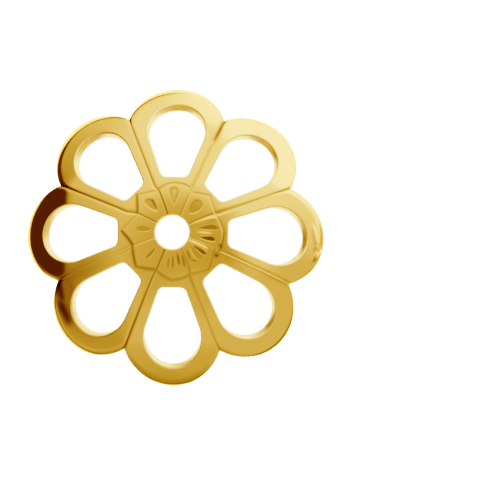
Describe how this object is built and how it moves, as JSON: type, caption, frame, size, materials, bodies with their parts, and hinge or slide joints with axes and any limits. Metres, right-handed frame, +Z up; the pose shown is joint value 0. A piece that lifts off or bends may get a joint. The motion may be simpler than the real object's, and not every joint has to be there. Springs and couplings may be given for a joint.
{
  "type": "bead cap",
  "caption": "Domed flower-shaped bead cap stamped from gold-coloured sheet, with pierced petals round a small rosette and a thread hole at the apex.",
  "frame": {"origin": "centre of the plane that the petal tips touch", "axes": "+Z up through the thread hole towards the apex, +X through the middle of a petal"},
  "size_m": [0.01, 0.01, 0.0023],
  "materials": {
    "gold_metal": "polished, gold-coloured"
  },
  "bodies": {
    "root": {"bead_cap": "gold_metal"}
  },
  "joints": []
}
